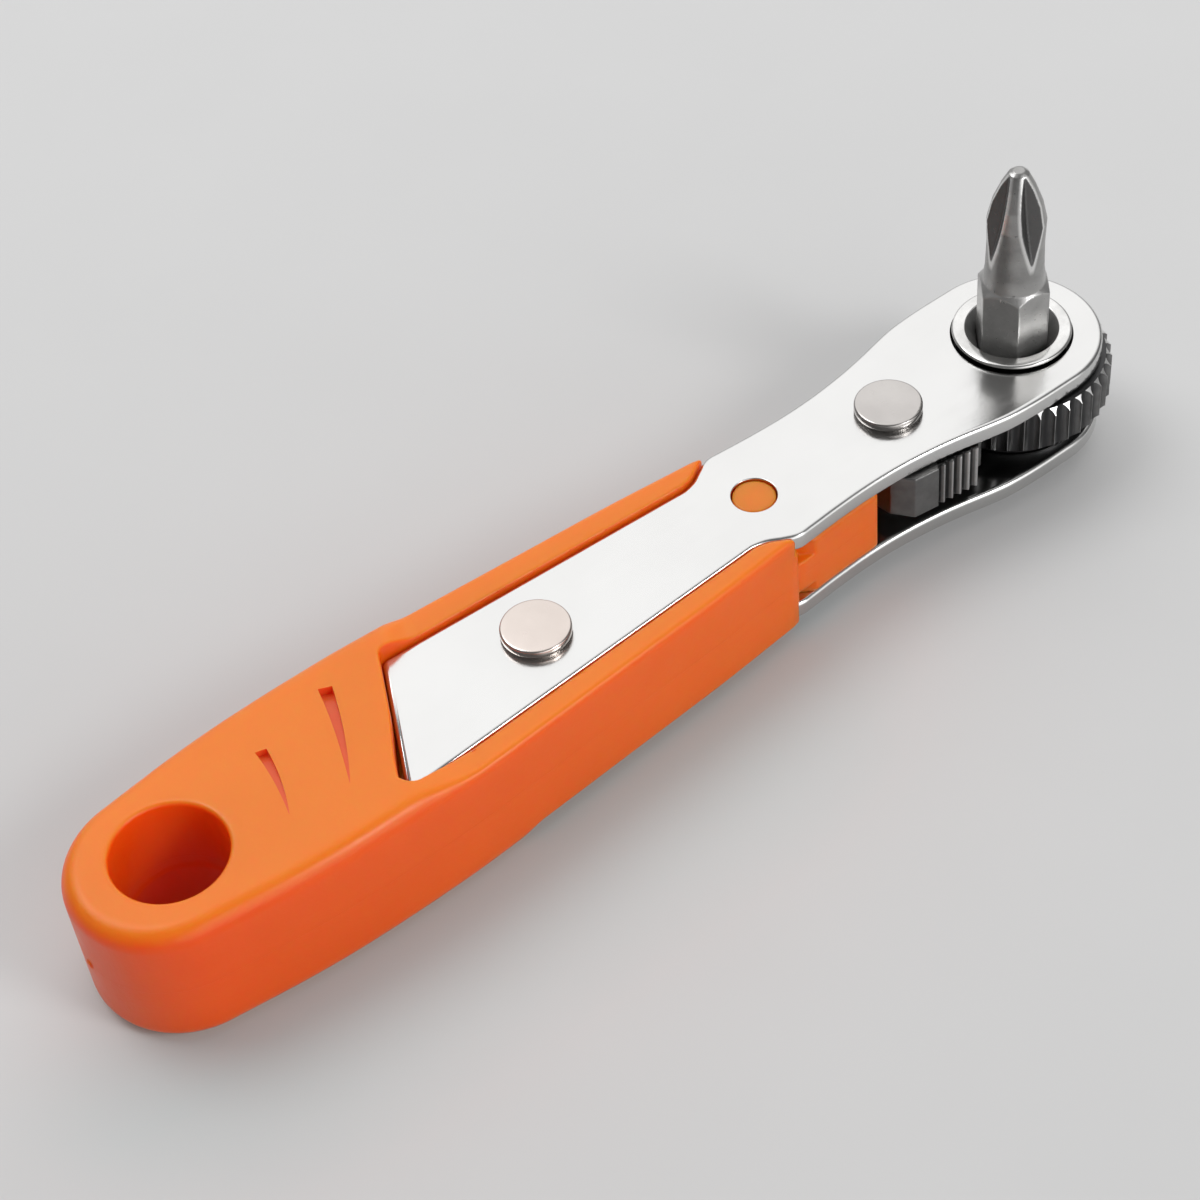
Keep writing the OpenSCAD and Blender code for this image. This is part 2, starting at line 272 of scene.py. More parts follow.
def grip_solid(x, y, z):
    """The whole moulding but for its finger grooves, negative inside."""
    upper, lower = swell(x, y), swell(x, -y)
    high = np.maximum(z - rim_high - tail_rise * upper, -z - rim_high - tail_rise * lower)
    edge = rim_edge + tail_edge_extra * np.where(z > 0, upper, lower)
    solid = block(off_edge(x, y, grip_edge), high, edge)
    for yy, zz in ((y, z), (-y, -z)):
        slack = plate_slack + near_slack_extra * np.clip(-yy / 4, 0, 1)
        pocket = np.maximum(off_edge(x, yy, plate_edge) - slack, plate_inner - zz)
        solid = carve(solid, pocket, 0.2)
    tongue = block(off_edge(x, y, tongue_edge), np.abs(z) - plate_inner + tongue_slack, 0.45)
    ramp = np.clip((relief_x - x) / relief_run, -0.2, 1)
    shelf = plate_inner - np.where(z > 0, 1.9, 1.5)
    relief = np.maximum(relief_half - relief_deep * ramp - np.abs(y), shelf - np.abs(z))
    solid = np.minimum(solid, carve(tongue, relief, fine_edge))
    boss = block(np.hypot(x - dot_x, y) - dot_boss_r, np.abs(z) - dot_boss_high, fine_edge)
    gate = block(np.hypot(y, z) - gate_r, np.abs(x - gate_x) - gate_half, fine_edge)
    solid = np.minimum(np.minimum(solid, boss), gate)
    draft = 0.12 * np.clip(-2 * z - 2, 0, 1)
    solid = carve(solid, np.hypot(x - hang_x, y) - hang_r + draft, 0.4)
    solid = carve(solid, np.hypot(x - handle_rivet_x, y) - rivet_hole_r, sharp_edge)
    bore = np.maximum(np.hypot(y, z - ball_bore_z) - ball_bore_r, ball_bore_end - x)
    return carve(solid, bore, sharp_edge)


handle = skin("handle", grip_solid, (-106.5, -10.7, -7.8), (-21.6, 10.7, 7.8), (0.21, 0.2, 0.2), 0.45)

# the finger grooves, on both faces: slim curved wedges whose floors run out at their points
grooves = [((-80.7, -4.2), (-76.25, 6.1), 1.15, 0.9), ((-86.4, -3.5), (-84.4, 3.95), 0.95, 0.75)]
tail_face = rim_high + tail_rise
cutter_top = 8
bm = bmesh.new()
for point, wide, width, deep in grooves:
    run = np.subtract(wide, point)
    turn = np.array((-run[1], run[0])) / np.hypot(*run)
    for face in (1, -1):
        ribs = []
        for t in np.linspace(0.004, 1, 15) ** 1.5:
            middle = np.add(point, run * t) - turn * t * (1 - t)
            spread_out = turn * width / 2 * t ** 0.75
            flare = spread_out * 0.2
            low = tail_face - deep * t
            rib = [(*(middle - spread_out), low), (*(middle + spread_out), low),
                   (*(middle + spread_out + flare), cutter_top),
                   (*(middle - spread_out - flare), cutter_top)]
            ribs.append([bm.verts.new((x * mm, y * face * mm, z * face * mm)) for x, y, z in rib])
        bm.faces.new(ribs[0])
        bm.faces.new(ribs[-1][::-1])
        for one, two in zip(ribs, ribs[1:]):
            for i in range(4):
                bm.faces.new((one[i], two[i], two[(i + 1) % 4], one[(i + 1) % 4]))
groove_mesh = mesh_of("groove_cutter", bm)
cutter = linked("groove_cutter", groove_mesh)
marks = [bpy.data.materials.new(name) for name in ("moulded", "cut")]
for finish in marks:
    handle.data.materials.append(finish)
    groove_mesh.materials.append(finish)
groove_mesh.polygons.foreach_set("material_index", [1] * len(groove_mesh.polygons))
cut = handle.modifiers.new("cut", "BOOLEAN")
cut.object = cutter
cut.solver = "EXACT"
handle.data = settled(handle)
handle.modifiers.clear()
bpy.data.objects.remove(cutter)
kinds = {}
for face in handle.data.polygons:
    for edge in face.edge_keys:
        kinds.setdefault(edge, set()).add(face.material_index)
for edge in handle.data.edges:
    edge.use_edge_sharp = len(kinds[edge.key]) > 1
even_shading(handle)
# the groove faces are kept to take painted shade and reflection: a redder, pinker tone
groove_shade_faces = [float(face.material_index) for face in handle.data.polygons]
handle.data.attributes.new("groove", "FLOAT", "FACE").data.foreach_set("value", groove_shade_faces)
handle.data.polygons.foreach_set("material_index", [0] * len(handle.data.polygons))
handle.data.materials.clear()
for finish in marks:
    bpy.data.materials.remove(finish)
handle.data.transform(Matrix.Translation((0, 0, mid_z * mm)))


def new_finish(name, colour, metallic, roughness):
    """A material with its shader, and Object coordinates to draw on."""
    finish = bpy.data.materials.new(name)
    finish.use_nodes = True
    nodes = finish.node_tree.nodes
    shader = nodes["Principled BSDF"]
    shader.inputs["Base Color"].default_value = (*colour, 1)
    shader.inputs["Metallic"].default_value = metallic
    shader.inputs["Roughness"].default_value = roughness
    place = nodes.new("ShaderNodeTexCoord")
    return finish, nodes, finish.node_tree.links, shader, place.outputs["Object"]


def grain(nodes, links, place, scale, detail=2.0, stretch=(1, 1, 1)):
    """A noise pattern on the piece, drawn out along the axes as wanted."""
    mapping = nodes.new("ShaderNodeMapping")
    mapping.inputs["Scale"].default_value = stretch
    noise = nodes.new("ShaderNodeTexNoise")
    noise.inputs["Scale"].default_value = scale
    noise.inputs["Detail"].default_value = detail
    links.new(place, mapping.inputs["Vector"])
    links.new(mapping.outputs["Vector"], noise.inputs["Vector"])
    return noise.outputs["Fac"]


def axes_of(nodes, links, vector):
    """The three numbers of a vector."""
    parts = nodes.new("ShaderNodeSeparateXYZ")
    links.new(vector, parts.inputs["Vector"])
    return parts.outputs


def spread(nodes, links, source, low, high, start=0.3, stop=0.7):
    """Maps a pattern to a range of values."""
    span = nodes.new("ShaderNodeMapRange")
    span.inputs["From Min"].default_value = start
    span.inputs["From Max"].default_value = stop
    span.inputs["To Min"].default_value = low
    span.inputs["To Max"].default_value = high
    links.new(source, span.inputs["Value"])
    return span.outputs["Result"]


def tint(nodes, links, source, dark, light):
    """Mixes two colours, or two patterns, by a pattern."""
    mix = nodes.new("ShaderNodeMix")
    mix.data_type = "RGBA"
    for socket, value in ((mix.inputs[6], dark), (mix.inputs[7], light)):
        if isinstance(value, tuple):
            socket.default_value = (*value, 1)
        else:
            links.new(value, socket)
    links.new(source, mix.inputs[0])
    return mix.outputs[2]


def relief_of(nodes, links, source, painted_light_falloff, shader, under=None):
    """Presses a pattern into the surface, on top of an earlier one."""
    bump = nodes.new("ShaderNodeBump")
    bump.inputs["Strength"].default_value = 1
    bump.inputs["Distance"].default_value = painted_light_falloff
    links.new(source, bump.inputs["Height"])
    if under:
        links.new(under, bump.inputs["Normal"])
    links.new(bump.outputs["Normal"], shader.inputs["Normal"])
    return bump.outputs["Normal"]


def marked(nodes, name):
    """The numbers that the piece's mesh holds under a name."""
    read = nodes.new("ShaderNodeAttribute")
    read.attribute_name = name
    return read.outputs["Fac"]


orange, nodes, links, shader, place = new_finish("orange_moulding", (0.84, 0.12, 0.004), 0, 0.4)
clouds = spread(nodes, links, grain(nodes, links, place, 90, 3), 0, 1)
where = axes_of(nodes, links, place)
frontward = spread(nodes, links, where["X"], 0, 1, -0.1, -0.03)
upward = axes_of(nodes, links, place.node.outputs["Normal"])["Z"]
lying = nodes.new("ShaderNodeMath")
lying.operation = "ABSOLUTE"
links.new(upward, lying.inputs[0])
tail_tone = tint(nodes, links, clouds, (0.825, 0.09, 0.002), (0.855, 0.1, 0.004))
front_tone = tint(nodes, links, clouds, (0.825, 0.138, 0.004), (0.855, 0.15, 0.006))
# painted sheen: the flat top and bottom faces get a lighter, yellower tone than the sides
painted_sheen_tone = tint(nodes, links, clouds, (0.775, 0.194, 0.006), (0.805, 0.207, 0.008))
tone = tint(nodes, links, frontward, tail_tone, front_tone)
tone = tint(nodes, links, spread(nodes, links, lying.outputs["Value"], 0, 1, 0.4, 0.9), tone, painted_sheen_tone)
# painted shade and reflection in the finger grooves: a redder, pinker tone
tone = tint(nodes, links, marked(nodes, "groove"), tone, (0.78, 0.115, 0.024))
links.new(tone, shader.inputs["Base Color"])
links.new(spread(nodes, links, grain(nodes, links, place, 350, 3), 0.29, 0.39),
          shader.inputs["Roughness"])
shader.inputs["Specular IOR Level"].default_value = 0.34
shader.inputs["Subsurface Weight"].default_value = 0.75
shader.inputs["Subsurface Radius"].default_value = (1, 0.15, 0.04)
shader.inputs["Subsurface Scale"].default_value = 0.0035
spark = relief_of(nodes, links, grain(nodes, links, place, 2600, 2), 12 * micron, shader)
waves = relief_of(nodes, links, grain(nodes, links, place, 130, 2), 18 * micron, shader, spark)
off_parting = nodes.new("ShaderNodeMath")
off_parting.operation = "COMPARE"
off_parting.inputs[1].default_value = mid_z * mm
off_parting.inputs[2].default_value = 60 * micron
links.new(where["Z"], off_parting.inputs[0])
relief_of(nodes, links, off_parting.outputs["Value"], 20 * micron, shader, waves)
handle.data.materials.append(orange)
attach(handle, "frame")
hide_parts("handle")

# Side plates. Two like stampings in nickel-plated steel, the second turned over, with rolled
# edges from the press. They clip into the handle's pockets and are held by the two rivets.


def stamping(name, outer, holes, low, high, radius, rolls):
    """A flat plate with holes, its top and bottom edges rolled over."""
    bm = bmesh.new()
    caps = {low: [], high: []}
    turn = np.radians(np.linspace(0, 90, rolls + 1))
    for ring, facing, roll in [(outer, 1, radius)] + [(h, -1, 0.12) for h in holes]:
        profile = [(roll * (1 - math.sin(a)), low + roll * 0.8 * (1 - math.cos(a))) for a in turn]
        profile += [(inset, low + high - z) for inset, z in profile[::-1]]
        step = np.roll(ring, -1, 0) - np.roll(ring, 1, 0)
        out = np.stack([step[:, 1], -step[:, 0]], 1) / np.linalg.norm(step, axis=1)[:, None]
        area = np.sum(ring[:, 0] * np.roll(ring[:, 1], -1) - ring[:, 1] * np.roll(ring[:, 0], -1))
        out *= facing * np.sign(area)
        loops = []
        for inset, z in profile:
            loops.append([bm.verts.new((*(p * mm), z * mm)) for p in ring - out * inset])
        count = len(ring)
        for one, two in zip(loops, loops[1:]):
            for i in range(count):
                j = (i + 1) % count
                bm.faces.new((one[i], one[j], two[j], two[i])).smooth = True
        caps[low].append(loops[0])
        caps[high].append(loops[-1])
    for z, loops in caps.items():
        edges = [bm.edges.get((l[i], l[i - 1])) for l in loops for i in range(len(l))]
        bmesh.ops.triangle_fill(bm, use_beauty=True, edges=edges, normal=(0, 0, 1 if z == high else -1))
    return linked(name, mesh_of(name, bm))


nickel, nodes, links, shader, place = new_finish("nickel_plate", (0.61, 0.607, 0.6), 1, 0.19)
brush = grain(nodes, links, place, 900, 4, (0.16, 1, 1))
links.new(spread(nodes, links, brush, 0.16, 0.23), shader.inputs["Roughness"])
haze = spread(nodes, links, grain(nodes, links, place, 110, 4), 0, 1)
links.new(tint(nodes, links, haze, (0.6, 0.597, 0.59), (0.625, 0.622, 0.615)),
          shader.inputs["Base Color"])
strokes = relief_of(nodes, links, brush, 2.5 * micron, shader)
relief_of(nodes, links, grain(nodes, links, place, 2600, 2), 4 * micron, shader, strokes)
rivet_hole = 1.62
hole_sizes = ((0, 5.83, 96), (dot_x, 2.16, 48), (pawl_rivet_x, rivet_hole, 32),
              (handle_rivet_x, rivet_hole, 32))
plate_holes = [arc((x, 0), r, 0, 360 - 360 / n, n) for x, r, n in hole_sizes]
for node, low, high, flip in (("top_plate", plate_inner, plate_face, 1),
                              ("bottom_plate", -plate_face, -plate_inner, -1)):
    plate = stamping(node, plate_edge * (1, flip), plate_holes, mid_z + low, mid_z + high, 0.55, 8)
    plate.data.materials.append(nickel)
    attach(plate, "frame")
    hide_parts(node)

# Rivets. Two like steel pins with turned flat heads, nickel plated and closed over the plates.
# The front one is also the pawl's pivot.


def turned(name, profile, count):
    """Spins a profile of (radius, height) round the upright axis."""
    bm = bmesh.new()
    a = np.radians(np.arange(count) * 360 / count)
    loops = []
    for r, z in profile:
        if r == 0:
            loops.append([bm.verts.new((0, 0, z * mm))] * count)
        else:
            loops.append([bm.verts.new((r * mm * c, r * mm * s, z * mm))
                          for c, s in zip(np.cos(a), np.sin(a))])
    for one, two in zip(loops, loops[1:]):
        for i in range(count):
            j = (i + 1) % count
            corners = list(dict.fromkeys((one[i], one[j], two[j], two[i])))
            bm.faces.new(corners).smooth = True
    return linked(name, mesh_of(name, bm))


head_top = plate_face + 1.05
head_half = [(0, head_top), (1.2, head_top - 0.002), (2.4, head_top - 0.008), (2.96, head_top - 0.018),
             (3.1, head_top - 0.045), (3.2, head_top - 0.12), (3.25, head_top - 0.25),
             (3.25, plate_face + 0.36), (3.22, plate_face + 0.3), (2.75, plate_face + 0.22),
             (2.7, plate_face), (1.6, plate_face), (1.6, 0)]
rivet = turned("one_rivet", [(r, mid_z + z) for r, z in head_half]
               + [(r, mid_z - z) for r, z in head_half[-2::-1]], 72)

warm_nickel, nodes, links, shader, place = new_finish("rivet_nickel", (0.58, 0.53, 0.5), 1, 0.22)
blotch = spread(nodes, links, grain(nodes, links, place, 240, 4), 0, 1)
# the front rivet gets a darker, cooler nickel than the back one
front_rivet_share = spread(nodes, links, axes_of(nodes, links, place)["X"], 0, 1, -0.04, -0.03)
warm = tint(nodes, links, blotch, (0.55, 0.487, 0.45), (0.6, 0.533, 0.495))
cool = tint(nodes, links, blotch, (0.41, 0.39, 0.376), (0.465, 0.444, 0.428))
links.new(tint(nodes, links, front_rivet_share, warm, cool), shader.inputs["Base Color"])
links.new(spread(nodes, links, grain(nodes, links, place, 700, 3), 0.17, 0.28),
          shader.inputs["Roughness"])
relief_of(nodes, links, grain(nodes, links, place, 1500, 3), 4 * micron, shader)


def node_tree(name, sizes):
    """A Geometry Nodes tree with named size inputs."""
    tree = bpy.data.node_groups.new(name, "GeometryNodeTree")
    tree.interface.new_socket("Geometry", in_out="INPUT", socket_type="NodeSocketGeometry")
    for size, kind, value in sizes:
        tree.interface.new_socket(size, in_out="INPUT", socket_type=kind).default_value = value
    tree.interface.new_socket("Geometry", in_out="OUTPUT", socket_type="NodeSocketGeometry")
    return tree, tree.nodes.new("NodeGroupInput"), tree.nodes.new("NodeGroupOutput")


def grown(name, base, tree, values):
    """Runs a tree on a mesh and keeps the result as a plain mesh."""
    holder = linked(name, base)
    modifier = holder.modifiers.new("grow", "NODES")
    modifier.node_group = tree
    for item in tree.interface.items_tree:
        if item.item_type == "SOCKET" and item.in_out == "INPUT" and item.name in values:
            modifier[item.identifier] = values[item.name]
    mesh = settled(holder)
    holder.modifiers.remove(modifier)
    holder.data = mesh
    return holder


tree, given, made = node_tree("rivet_row", [("Front", "NodeSocketFloat", 0.0),
                                            ("Spacing", "NodeSocketFloat", 0.0)])
spots = tree.nodes.new("GeometryNodeMeshLine")
spots.inputs["Count"].default_value = 2
for size, socket in (("Front", "Start Location"), ("Spacing", "Offset")):
    vector = tree.nodes.new("ShaderNodeCombineXYZ")
    tree.links.new(given.outputs[size], vector.inputs["X"])
    tree.links.new(vector.outputs["Vector"], spots.inputs[socket])
pin = tree.nodes.new("GeometryNodeObjectInfo")
pin.inputs["Object"].default_value = rivet
copies = tree.nodes.new("GeometryNodeInstanceOnPoints")
solid = tree.nodes.new("GeometryNodeRealizeInstances")
coat = tree.nodes.new("GeometryNodeSetMaterial")
coat.inputs["Material"].default_value = warm_nickel
tree.links.new(spots.outputs["Mesh"], copies.inputs["Points"])
tree.links.new(pin.outputs["Geometry"], copies.inputs["Instance"])
tree.links.new(copies.outputs["Instances"], solid.inputs["Geometry"])
tree.links.new(solid.outputs["Geometry"], coat.inputs["Geometry"])
tree.links.new(coat.outputs["Geometry"], made.inputs["Geometry"])
rivets = grown("rivets", bpy.data.meshes.new("rivets"), tree,
               {"Front": pawl_rivet_x * mm, "Spacing": (handle_rivet_x - pawl_rivet_x) * mm})
bpy.data.objects.remove(rivet)
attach(rivets, "frame")
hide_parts("handle_rivet", "pawl_rivet")

# Ratchet gear. A hardened steel ring cut with pointed teeth, dark from heat treatment, with a
# polished hub through each plate and a hexagon socket that takes the bit. Painted shade darkens the
# tooth valleys, the tops under the plates and the shoulder; the crests are lightened by painted
# highlight, the bevels partly by ground steel and partly by painted highlight. It has the 40 teeth of
# the photograph, and the solid has 36.
tooth_count = 40
gear_r = 9.75
valley_at = 9.85
valley_r = 0.74
band_low = mid_z - 1.6
band_high = mid_z + 3.4
bevel_r = gear_r - 0.6
hub_end = plate_face + 0.72

dark_steel, nodes, links, shader, place = new_finish("tooth_steel", (0.15, 0.15, 0.15), 1, 0.34)
flat = nodes.new("ShaderNodeMapping")
flat.inputs["Scale"].default_value = (1, 1, 0)
links.new(place, flat.inputs["Vector"])
radius = nodes.new("ShaderNodeVectorMath")
radius.operation = "LENGTH"
links.new(flat.outputs["Vector"], radius.inputs[0])
radius = radius.outputs["Value"]
upward = axes_of(nodes, links, place.node.outputs["Normal"])["Z"]
soot = spread(nodes, links, grain(nodes, links, place, 700, 4), 0, 1)
crest_tone = tint(nodes, links, soot, (0.2, 0.2, 0.2), (0.32, 0.318, 0.315))
# painted shade in the tooth valleys, darkest at the roots, and painted highlight towards the crests
outward = spread(nodes, links, radius, 0, 1, 0.0091, 0.0097)
tone = tint(nodes, links, outward, (0.04, 0.04, 0.041), crest_tone)
# bevels painted bright, partly ground steel and partly painted highlight; flat tops under the plates painted dark
# as painted shade
tone = tint(nodes, links, spread(nodes, links, upward, 0, 1, 0.4, 0.6), tone, (0.72, 0.717, 0.71))
tone = tint(nodes, links, spread(nodes, links, upward, 0, 1, 0.8, 0.95), tone, (0.06, 0.06, 0.061))
links.new(tone, shader.inputs["Base Color"])
links.new(spread(nodes, links, grain(nodes, links, place, 500, 3), 0.28, 0.46),
          shader.inputs["Roughness"])
relief_of(nodes, links, grain(nodes, links, place, 1400, 3, (1, 1, 0.15)), 10 * micron, shader)

hub_steel, nodes, links, shader, place = new_finish("hub_steel", (0.62, 0.615, 0.605), 1, 0.16)
links.new(spread(nodes, links, grain(nodes, links, place, 900, 4), 0.12, 0.24),
          shader.inputs["Roughness"])
wear = spread(nodes, links, grain(nodes, links, place, 420, 4), 0, 1)
links.new(tint(nodes, links, wear, (0.52, 0.515, 0.505), (0.7, 0.695, 0.685)),
          shader.inputs["Base Color"])
relief_of(nodes, links, grain(nodes, links, place, 1300, 3), 4 * micron, shader)

socket_steel, nodes, links, shader, place = new_finish("socket_steel", (0.24, 0.238, 0.235), 0.5, 0.45)
links.new(spread(nodes, links, grain(nodes, links, place, 800, 3), 0.38, 0.52),
          shader.inputs["Roughness"])
bluing = spread(nodes, links, grain(nodes, links, place, 500, 4), 0, 1)
links.new(tint(nodes, links, bluing, (0.2, 0.199, 0.197), (0.28, 0.278, 0.274)),
          shader.inputs["Base Color"])
relief_of(nodes, links, grain(nodes, links, place, 1300, 3), 6 * micron, shader)

# one tooth, from valley to valley, both ends bevelled by a cone
foot = np.degrees(math.acos((valley_at ** 2 + gear_r ** 2 - valley_r ** 2) / (2 * valley_at * gear_r)))
half_pitch = 180 / tooth_count
lip = math.radians(half_pitch - foot)
tip = np.array((gear_r * math.cos(lip), gear_r * math.sin(lip)))
well = valley_at * np.array((math.cos(math.radians(half_pitch)), math.sin(math.radians(half_pitch))))
lift = math.degrees(math.atan2(*(tip - well)[::-1]))
flank = arc(well, valley_r, 180 + half_pitch, 360 + lift, 13)
crest = np.concatenate([flank, [(gear_r, 0)], flank[::-1] * (1, -1)])[::-1]
reach = np.linalg.norm(crest, axis=1)
held = np.minimum(reach, bevel_r)
rise = np.maximum(reach - bevel_r, 0.03)
bm = bmesh.new()
loops = []
for radii, heights in ((held, band_low + 0 * rise), (reach, band_low + rise),
                       (reach, band_high - rise), (held, band_high + 0 * rise)):
    ring = crest * (radii / reach)[:, None]
    loops.append([bm.verts.new((x * mm, y * mm, z * mm)) for (x, y), z in zip(ring, heights)])
count = len(loops)
inner = arc((0, 0), 5.6, -half_pitch, half_pitch, 3)
for loop, z in ((loops[0], band_low), (loops[-1], band_high)):
    rim = [bm.verts.new((*(p * mm), z * mm)) for p in inner]
    bm.faces.new(loop + rim[::-1])
    loops = loops + [rim]
for one, two in list(zip(loops[:count], loops[1:count])) + [(loops[count], loops[count + 1])]:
    for i in range(len(one) - 1):
        bm.faces.new((one[i], one[i + 1], two[i + 1], two[i])).smooth = True
tooth = linked("one_tooth", mesh_of("one_tooth", bm))

# the hub: turned outside, a hexagon with lead-in cones inside
bm = bmesh.new()
socket_turn = -6
socket_half = 3.25
hub_sides = 144
steps = np.arange(hub_sides) * 360 / hub_sides
angles = np.radians(steps + socket_turn)
flats = socket_half / np.cos(np.radians(steps % 60 - 30))
outer_half = [(5.25, hub_end), (5.5, hub_end - 0.03), (5.64, hub_end - 0.08), (5.73, hub_end - 0.17),
              (5.75, hub_end - 0.3), (5.7, hub_end - 0.36), (5.45, hub_end - 0.4), (5.3, hub_end - 0.5),
              (5.3, plate_inner + 0.3), (5.75, plate_inner + 0.2), (5.75, 3.4)]
lead_in = [(4.6, hub_end), (4.52, hub_end - 0.03), (4.46, hub_end - 0.1), (3.9, hub_end - 1.0),
           (3.4, hub_end - 1.8), (3.2, hub_end - 2.1)]
groove = [(3.2, 2.35), (4.5, 2.3), (4.5, 1.6), (3.2, 1.55)]
shoulder = [(7.58, -1.6), (7.6, -1.7), (7.6, -3.3), (7.5, -3.4)]
rings = [np.full(hub_sides, r) for r, z in outer_half + shoulder + outer_half[::-1]]
heights = [z for r, z in outer_half + shoulder] + [-z for r, z in outer_half[::-1]]
inside = [(r, -z) for r, z in lead_in] + groove[::-1] + lead_in[::-1]
rings += [np.maximum(flats, r) for r, z in inside]
heights += [z for r, z in inside]
loops = [[bm.verts.new((r * mm * c, r * mm * s, (mid_z + z) * mm))
          for r, c, s in zip(ring, np.cos(angles), np.sin(angles))] for ring, z in zip(rings, heights)]
for one, two in zip(loops, loops[1:] + loops[:1]):
    for i in range(hub_sides):
        j = (i + 1) % hub_sides
        bm.faces.new((one[i], one[j], two[j], two[i])).smooth = True
hub_mesh = mesh_of("hub", bm)
for finish in (hub_steel, dark_steel, socket_steel):
    hub_mesh.materials.append(finish)
# the undercut under each lip and the shoulder take the dark tooth steel: painted shade
undercut = 5
outer_rows = len(outer_half) * 2 + len(shoulder)
for face in hub_mesh.polygons:
    row = face.index // hub_sides
    if undercut <= row < outer_rows - 1 - undercut:
        face.material_index = 1
    elif outer_rows < row < len(rings) - 3:
        face.material_index = 2

tree, given, made = node_tree("gear_teeth", [("Teeth", "NodeSocketInt", 1)])
spots = tree.nodes.new("GeometryNodeMeshLine")
spots.inputs["Offset"].default_value = (0, 0, 0)
tree.links.new(given.outputs["Teeth"], spots.inputs["Count"])
number = tree.nodes.new("GeometryNodeInputIndex")
share = tree.nodes.new("ShaderNodeMath")
share.operation = "DIVIDE"
tree.links.new(number.outputs["Index"], share.inputs[0])
tree.links.new(given.outputs["Teeth"], share.inputs[1])
around = tree.nodes.new("ShaderNodeMath")
around.operation = "MULTIPLY"
around.inputs[1].default_value = 2 * math.pi
tree.links.new(share.outputs["Value"], around.inputs[0])
turn = tree.nodes.new("ShaderNodeCombineXYZ")
tree.links.new(around.outputs["Value"], turn.inputs["Z"])
pattern = tree.nodes.new("GeometryNodeObjectInfo")
pattern.inputs["Object"].default_value = tooth
copies = tree.nodes.new("GeometryNodeInstanceOnPoints")
tree.links.new(spots.outputs["Mesh"], copies.inputs["Points"])
tree.links.new(pattern.outputs["Geometry"], copies.inputs["Instance"])
tree.links.new(turn.outputs["Vector"], copies.inputs["Rotation"])
solid = tree.nodes.new("GeometryNodeRealizeInstances")
tree.links.new(copies.outputs["Instances"], solid.inputs["Geometry"])
welded = tree.nodes.new("GeometryNodeMergeByDistance")
welded.inputs["Distance"].default_value = 2 * micron
tree.links.new(solid.outputs["Geometry"], welded.inputs["Geometry"])
both = tree.nodes.new("GeometryNodeJoinGeometry")
coat = tree.nodes.new("GeometryNodeSetMaterial")
coat.inputs["Material"].default_value = dark_steel
tree.links.new(welded.outputs["Geometry"], coat.inputs["Geometry"])
tree.links.new(coat.outputs["Geometry"], both.inputs["Geometry"])
tree.links.new(given.outputs["Geometry"], both.inputs["Geometry"])
tree.links.new(both.outputs["Geometry"], made.inputs["Geometry"])
gear = grown("ratchet_gear", hub_mesh, tree, {"Teeth": tooth_count})
bpy.data.objects.remove(tooth)
gear.data.set_sharp_from_angle(angle=math.radians(40))
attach(gear, "gear")
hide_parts("ratchet_gear")

# Bit retaining ring and detent ball. An open ring of bright spring wire in a groove of the socket,
# and a hard steel ball. The solids' own shapes are right, so they only get a finish.
spring_wire, nodes, links, shader, place = new_finish("spring_wire", (0.62, 0.62, 0.63), 1, 0.22)
links.new(spread(nodes, links, grain(nodes, links, place, 1200, 3), 0.16, 0.32),
          shader.inputs["Roughness"])
drawn = spread(nodes, links, grain(nodes, links, place, 800, 3), 0, 1)
links.new(tint(nodes, links, drawn, (0.52, 0.52, 0.53), (0.7, 0.7, 0.71)), shader.inputs["Base Color"])
for name in ("bit_retaining_ring", "detent_ball"):
    node = frame["nodes"][name]
    node.data.materials.clear()
    node.data.materials.append(spring_wire)

# Detent spring. A short coil of spring wire behind the ball, in a bore of the handle's tongue.
ball_low, ball_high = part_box("detent_ball")
coil_start = ball_low.x / mm - 0.3
coil_stop = -29.72
wire = bpy.data.curves.new("detent_spring", "CURVE")
wire.dimensions = "3D"
wire.bevel_depth = 0.22 * mm
wire.bevel_resolution = 3
wire.use_fill_caps = True
path = wire.splines.new("POLY")
coil_turns = 5
coil_r = 1.1 * mm
coil_z = (ball_low.z + ball_high.z) / 2
turns = np.linspace(0, coil_turns, 161)
path.points.add(len(turns) - 1)
for point, t in zip(path.points, turns):
    a = 2 * math.pi * t
    point.co = ((coil_start + (coil_stop - coil_start) * t / coil_turns) * mm, coil_r * math.cos(a),
                coil_z + coil_r * math.sin(a), 1)
coil = linked("coil_path", wire)
coil_mesh = settled(coil)
bpy.data.objects.remove(coil)
spring = linked("detent_spring_wire", coil_mesh)
spring.data.materials.append(spring_wire)
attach(spring, "frame")
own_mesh(spring)
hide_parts("detent_spring")

# Reversing pawl. A sintered steel rocker, black-grey and satin, with ridged thumb tabs on both
# sides and one tooth for each direction; it pivots on the front rivet.
pivot_x = pawl_rivet_x
swing = 5
tab = 7.45
half = [(-4.6, 0), (-4.6, 2.6), (-3.94, 5.5), (-2.35, tab - 0.15), (0.3, tab - 0.02)]
for k in range(5):
    half += [(0.55 + 0.95 * k, tab + 0.03 * k - 0.5), (0.55 + 0.95 * (k + 0.5), tab + 0.03 * k)]
half += [(5.3, tab - 0.5), (5.5, 5.6)]
for a in np.radians(np.arange(31.5, -1, -3.5)):
    r = gear_r + 0.2 - pivot_x * math.radians(swing) * math.sin(a)
    half.append((-pivot_x - r * math.cos(a), r * math.sin(a)))
pawl_edge = mirrored(np.array(half))
tooth_root = valley_at - valley_r + 0.39
tooth_place = 2.5
tooth_end = 10.6
collar_r = 2.9
ball_seat = -5.81
ball_seat_r = 1.56
pivot_bore_r = 1.65


